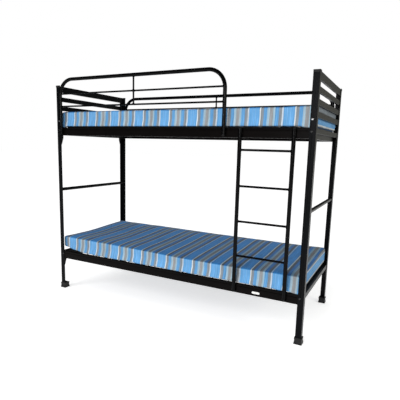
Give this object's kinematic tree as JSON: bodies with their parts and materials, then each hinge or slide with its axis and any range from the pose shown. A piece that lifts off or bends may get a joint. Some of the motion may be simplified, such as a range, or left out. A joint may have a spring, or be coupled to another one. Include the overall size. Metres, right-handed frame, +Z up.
{
  "type": "bunk bed",
  "caption": "Steel bunk bed with angle-iron posts, slatted decks, tube guard rails at front and rear, a fixed ladder near one end and striped foam mattresses.",
  "frame": {"origin": "on the floor under the middle of the whole object's box", "axes": "+X along the length, towards the ladder end; -Y towards the side with the ladder; +Z up"},
  "size_m": [1.992, 0.846, 1.6675],
  "materials": {
    "frame_paint": "satin",
    "rail_paint": "satin",
    "tube_paint": "satin",
    "deck_paint": "satin",
    "black_plastic": "matte",
    "bolt_black": "satin",
    "zinc": "satin",
    "ticking": "matte",
    "label_white": "satin"
  },
  "bodies": {
    "root": {"post_front_left": "frame_paint", "post_front_right": "frame_paint", "post_rear_left": "frame_paint", "post_rear_right": "frame_paint", "foot_front_left": "black_plastic", "foot_front_right": "black_plastic", "foot_rear_left": "black_plastic", "foot_rear_right": "black_plastic", "post_caps": "black_plastic", "left_top_rail": "frame_paint", "left_panel_slat_1": "frame_paint", "left_panel_slat_2": "frame_paint", "left_panel_slat_3": "frame_paint", "right_top_rail": "frame_paint", "right_panel_slat_1": "frame_paint", "right_panel_slat_2": "frame_paint", "right_panel_slat_3": "frame_paint", "left_panel_uprights": "frame_paint", "right_panel_uprights": "frame_paint", "left_mid_bar": "frame_paint", "right_mid_bar": "frame_paint", "left_upper_end_rail": "frame_paint", "left_lower_end_rail": "frame_paint", "right_upper_end_rail": "frame_paint", "right_lower_end_rail": "frame_paint", "upper_front_rail": "rail_paint", "upper_rear_rail": "rail_paint", "lower_front_rail": "rail_paint", "lower_rear_rail": "rail_paint", "upper_cross_members": "deck_paint", "lower_cross_members": "deck_paint", "upper_gussets": "deck_paint", "lower_gussets": "deck_paint", "upper_deck_slats": "deck_paint", "lower_deck_slats": "deck_paint", "front_guard_tube": "tube_paint", "front_guard_mid_rod": "tube_paint", "front_guard_low_rod": "tube_paint", "front_guard_spindle": "tube_paint", "rear_guard_tube": "tube_paint", "rear_guard_low_rod": "tube_paint", "rear_guard_spindle": "tube_paint", "ladder_left_stile": "tube_paint", "ladder_right_stile": "tube_paint", "rung_1": "tube_paint", "rung_2": "tube_paint", "rung_3": "tube_paint", "rung_4": "tube_paint", "ladder_plugs": "black_plastic", "guard_plugs": "black_plastic", "rail_bolts": "bolt_black", "rail_nuts": "zinc", "panel_bolts": "zinc", "panel_nuts": "zinc", "label_plate": "label_white", "upper_mattress": "ticking", "lower_mattress": "ticking"}
  },
  "joints": []
}
